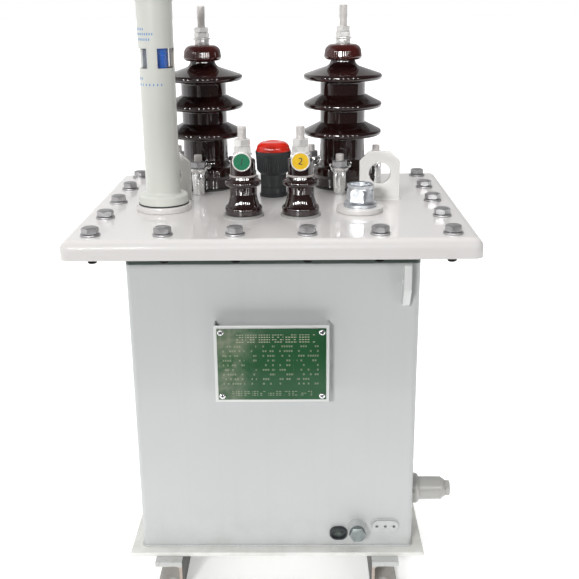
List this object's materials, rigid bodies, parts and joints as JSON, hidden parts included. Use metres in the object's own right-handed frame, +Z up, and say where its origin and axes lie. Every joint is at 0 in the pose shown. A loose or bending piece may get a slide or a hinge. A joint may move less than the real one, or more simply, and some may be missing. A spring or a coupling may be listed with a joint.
{
  "type": "oil-filled power transformer",
  "caption": "Small oil-filled power transformer: welded tank on channel feet, bolted pan cover, shed insulators, oil gauge, tap changer and filler.",
  "frame": {"origin": "on the floor at the centre of the four foot holes", "axes": "+Z up, +X to the right when facing the nameplate, +Y from the nameplate side to the back"},
  "size_m": [0.507, 0.428, 0.802],
  "materials": {
    "tank_grey": "satin sprayed enamel",
    "cover_grey": "glossy sprayed enamel",
    "gauge_paint": "satin enamel",
    "brown_porcelain": "dark brown glaze",
    "red_brown_porcelain": "red-brown glaze",
    "cast_zinc": "bright as cast",
    "plated_steel": "zinc plated",
    "galvanised": "hot-dip galvanised",
    "black_rubber": "matt",
    "grey_rubber": "matt",
    "black_moulding": "fine matt",
    "red_moulding": "gloss",
    "blue_float": "gloss",
    "gauge_glass": "clear",
    "plate_green": "etched and filled",
    "bracket_grey": "satin enamel"
  },
  "bodies": {
    "root": {"base_plate": "tank_grey", "tank_front_shell": "tank_grey", "tank_back_shell": "tank_grey", "tank_flange": "tank_grey", "tank_hooks": "tank_grey", "base_foot_left": "tank_grey", "base_foot_right": "tank_grey", "drain_boss": "tank_grey", "oval_plate": "tank_grey", "outlet_pipe": "tank_grey", "outlet_plug": "tank_grey", "cover": "cover_grey", "lifting_lug_left": "cover_grey", "lifting_lug_right": "cover_grey", "gauge_seat": "cover_grey", "filler_pad": "cover_grey", "gauge_tube": "gauge_paint", "gauge_cap": "gauge_paint", "hv_bushing_left": "brown_porcelain", "hv_bushing_right": "brown_porcelain", "lv_bushing_left": "brown_porcelain", "lv_bushing_right": "brown_porcelain", "lv_cap_left": "brown_porcelain", "lv_cap_right": "brown_porcelain", "hv_cap_left": "red_brown_porcelain", "hv_cap_right": "red_brown_porcelain", "hv_clamps_left": "cast_zinc", "hv_clamps_right": "cast_zinc", "hv_terminal_left": "plated_steel", "hv_terminal_right": "plated_steel", "lv_terminal_left": "plated_steel", "lv_terminal_right": "plated_steel", "phase_tag_left": "plated_steel", "phase_tag_right": "plated_steel", "filler_plug": "galvanised", "drain_plug": "galvanised", "hv_gaskets": "black_rubber", "gauge_gasket": "black_rubber", "cover_gasket": "black_rubber", "lv_gaskets": "grey_rubber", "tap_changer_body": "black_moulding", "earth_terminal_cap": "black_moulding", "tap_changer_cap": "red_moulding", "gauge_float": "blue_float", "gauge_glass": "gauge_glass", "nameplate": "plate_green", "nameplate_bracket": "bracket_grey"}
  },
  "joints": []
}
